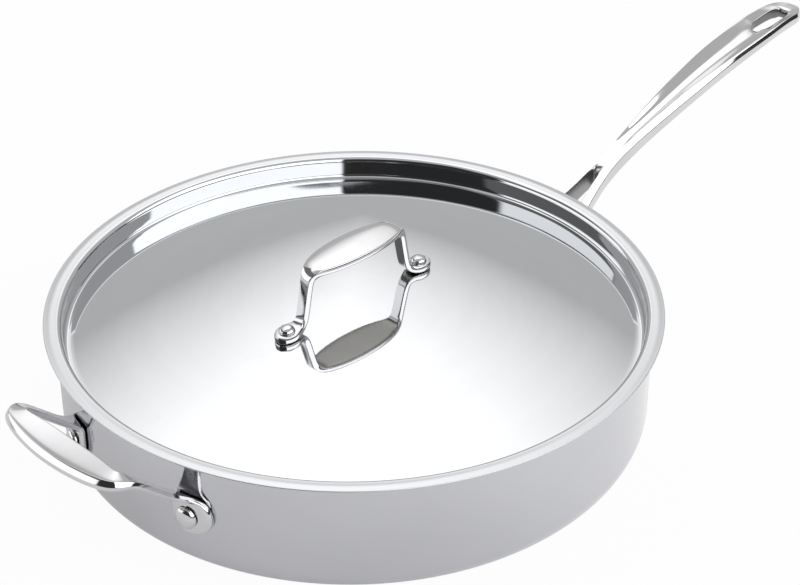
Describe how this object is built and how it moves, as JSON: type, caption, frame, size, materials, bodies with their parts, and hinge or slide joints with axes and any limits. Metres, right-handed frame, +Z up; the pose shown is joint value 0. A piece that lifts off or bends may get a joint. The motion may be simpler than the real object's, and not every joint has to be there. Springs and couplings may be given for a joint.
{
  "type": "saute pan with lid",
  "caption": "Round straight-sided saute pan in polished steel, with a long riveted handle, an opposite helper handle and a drop-in lid with a bridge handle.",
  "frame": {"origin": "centre of the flat base underside", "axes": "+Z up out of the pan, +X along the long handle towards its tip"},
  "size_m": [0.6037, 0.335, 0.1181],
  "materials": {
    "polished_steel": "polished stainless steel, faint turning grain",
    "core_aluminium": "bare rolled aluminium, seen only at the lip edge",
    "satin_steel": "satin stainless cooking surface",
    "mirror_steel": "mirror-polished stainless steel",
    "cast_steel": "cast stainless steel, polished",
    "rivet_steel": "polished stainless rivets"
  },
  "bodies": {
    "pan": {"pan_outer_shell": "polished_steel", "pan_core": "core_aluminium", "pan_inner_liner": "satin_steel", "long_handle": "cast_steel", "helper_handle": "cast_steel", "long_handle_rivet_left": "rivet_steel", "long_handle_rivet_right": "rivet_steel", "helper_rivet_left": "rivet_steel", "helper_rivet_right": "rivet_steel"},
    "lid": {"lid_cover": "mirror_steel", "lid_handle": "cast_steel", "lid_rivet_left": "rivet_steel", "lid_rivet_right": "rivet_steel"}
  },
  "joints": [
    {"name": "lid_lift", "type": "slide", "parent": "pan", "child": "lid", "axis": [0, 0, 1], "range_m": [0, 0.15]}
  ]
}
